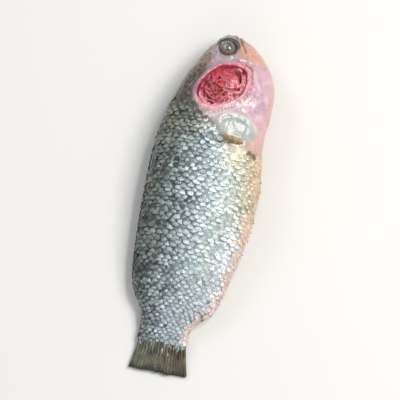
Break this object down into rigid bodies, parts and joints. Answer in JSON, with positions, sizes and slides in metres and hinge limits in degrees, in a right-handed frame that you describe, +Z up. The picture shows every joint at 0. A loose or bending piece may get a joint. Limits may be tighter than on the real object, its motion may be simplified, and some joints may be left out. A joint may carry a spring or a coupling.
{
  "type": "dressed climbing perch",
  "caption": "Whole dressed freshwater perch lying on its side, gill covers cut away and fins trimmed, with its scales on, for a plate, board or market display.",
  "frame": {"origin": "middle of the bounding box's base, on the surface that the fish lies on", "axes": "+Z up out of the right flank, +Y towards the snout, +X towards the belly; the fish lies on its left side"},
  "size_m": [0.0492, 0.1498, 0.0249],
  "materials": {
    "scaled_skin": "wet, glossy fish scales, dark olive grey on the back and silver on the flank",
    "gill_flesh": "wet crimson gill flesh",
    "eye": "wet, clear and glossy"
  },
  "bodies": {
    "root": {"fish_body": "scaled_skin", "gill_basket": "gill_flesh", "eye_right": "eye", "eye_left": "eye"}
  },
  "joints": []
}
